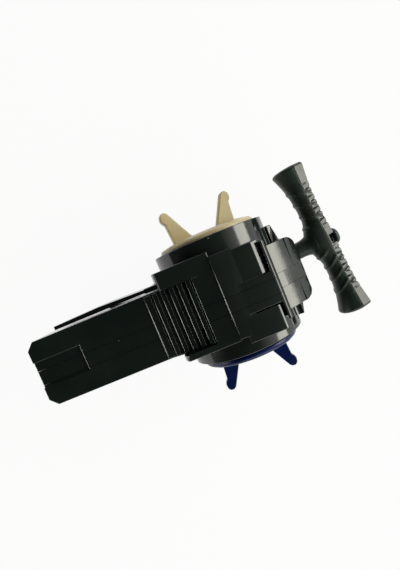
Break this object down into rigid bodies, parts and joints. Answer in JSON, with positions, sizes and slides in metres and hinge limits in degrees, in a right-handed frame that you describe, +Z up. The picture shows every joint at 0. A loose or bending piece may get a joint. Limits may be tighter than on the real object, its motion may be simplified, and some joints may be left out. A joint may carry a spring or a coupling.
{
  "type": "spinning top launcher",
  "caption": "Hand-held string launcher for spinning tops: a drum with a pronged hub on each face, a ribbed grip block, a release lever and a T-shaped pull handle on a self-winding string.",
  "frame": {"origin": "foot of the spin axis's middle plane on the lower side pad, which the launcher lies on", "axes": "+X along the pull of the string, +Y along the spin axis towards the ivory hub, +Z up from the side it lies on"},
  "size_m": [0.1426, 0.0851, 0.0546],
  "materials": {
    "case_plastic": "glossy black moulding",
    "handle_plastic": "satin black moulding",
    "ivory_plastic": "satin ivory nylon",
    "blue_plastic": "satin deep blue nylon",
    "steel": "zinc plated",
    "acetal": "natural acetal",
    "bronze": "sintered bronze",
    "cord": "braided cord"
  },
  "bodies": {
    "casing": {"upper_shell": "case_plastic", "middle_frame": "case_plastic", "lower_shell": "case_plastic", "case_screws": "steel", "string_eyelet": "acetal", "lever_pin": "steel", "lever_spring": "steel", "spring_cup": "acetal", "mainspring": "steel", "spring_cover": "acetal", "upper_bush": "bronze", "lower_bush": "bronze"},
    "spool_shaft": {"axle": "steel", "spool": "acetal", "string_winding": "cord", "upper_pawl_carrier": "acetal", "lower_pawl_carrier": "acetal"},
    "upper_pawl_a": {"upper_pawl_a": "acetal"},
    "upper_pawl_b": {"upper_pawl_b": "acetal"},
    "lower_pawl_a": {"lower_pawl_a": "acetal"},
    "lower_pawl_b": {"lower_pawl_b": "acetal"},
    "upper_hub": {"upper_hub": "ivory_plastic", "upper_hub_screw": "steel"},
    "lower_hub": {"lower_hub": "blue_plastic", "lower_hub_screw": "steel"},
    "pull_cord": {"pull_string": "cord", "string_knot": "cord"},
    "handle": {"handle_grip": "handle_plastic", "handle_back": "handle_plastic", "handle_plug": "handle_plastic"},
    "release_lever": {"release_lever": "case_plastic"}
  },
  "joints": [
    {"name": "string_pull", "type": "slide", "parent": "casing", "child": "pull_cord", "axis": [1, 0, 0], "range_m": [0, 0.5], "stiffness_N_per_m": 5, "springref_m": -0.3, "deforming": ["pull_string"]},
    {"name": "handle_swivel", "type": "hinge", "parent": "pull_cord", "child": "handle", "pos_m": [0.0346, 0.0072, 0.0273], "axis": [1, 0, 0], "continuous": true},
    {"name": "spool_spin", "type": "hinge", "parent": "casing", "child": "spool_shaft", "pos_m": [0, 0, 0.0273], "axis": [0, 1, 0], "range_deg": [0, 2500], "deforming": ["mainspring"]},
    {"name": "upper_hub_spin", "type": "hinge", "parent": "casing", "child": "upper_hub", "pos_m": [0, 0.0309, 0.0273], "axis": [0, 1, 0], "range_deg": [0, 2500]},
    {"name": "lower_hub_spin", "type": "hinge", "parent": "casing", "child": "lower_hub", "pos_m": [0, -0.0258, 0.0273], "axis": [0, 1, 0], "range_deg": [0, 2500]},
    {"name": "lever_press", "type": "hinge", "parent": "casing", "child": "release_lever", "pos_m": [-0.0322, 0.0171, 0.0273], "axis": [0, 0, 1], "range_deg": [0, 0.8], "stiffness_Nm_per_rad": 2, "springref_deg": -0.57, "deforming": ["lever_spring"]},
    {"name": "upper_pawl_a_fold", "type": "hinge", "parent": "spool_shaft", "child": "upper_pawl_a", "pos_m": [0.0104, 0.0164, 0.0273], "axis": [0, 1, 0], "range_deg": [0, 18], "stiffness_Nm_per_rad": 0.005, "springref_deg": -5.73},
    {"name": "upper_pawl_b_fold", "type": "hinge", "parent": "spool_shaft", "child": "upper_pawl_b", "pos_m": [-0.0104, 0.0164, 0.0273], "axis": [0, 1, 0], "range_deg": [0, 18], "stiffness_Nm_per_rad": 0.005, "springref_deg": -5.73},
    {"name": "lower_pawl_a_fold", "type": "hinge", "parent": "spool_shaft", "child": "lower_pawl_a", "pos_m": [0.0104, -0.0146, 0.0273], "axis": [0, 1, 0], "range_deg": [0, 18], "stiffness_Nm_per_rad": 0.005, "springref_deg": -5.73},
    {"name": "lower_pawl_b_fold", "type": "hinge", "parent": "spool_shaft", "child": "lower_pawl_b", "pos_m": [-0.0104, -0.0146, 0.0273], "axis": [0, 1, 0], "range_deg": [0, 18], "stiffness_Nm_per_rad": 0.005, "springref_deg": -5.73}
  ],
  "couplings": [
    {"joint": "spool_spin", "follows": "string_pull", "rad_per_m": 86.957},
    {"joint": "upper_hub_spin", "follows": "string_pull", "rad_per_m": 86.957},
    {"joint": "lower_hub_spin", "follows": "string_pull", "rad_per_m": 86.957}
  ]
}
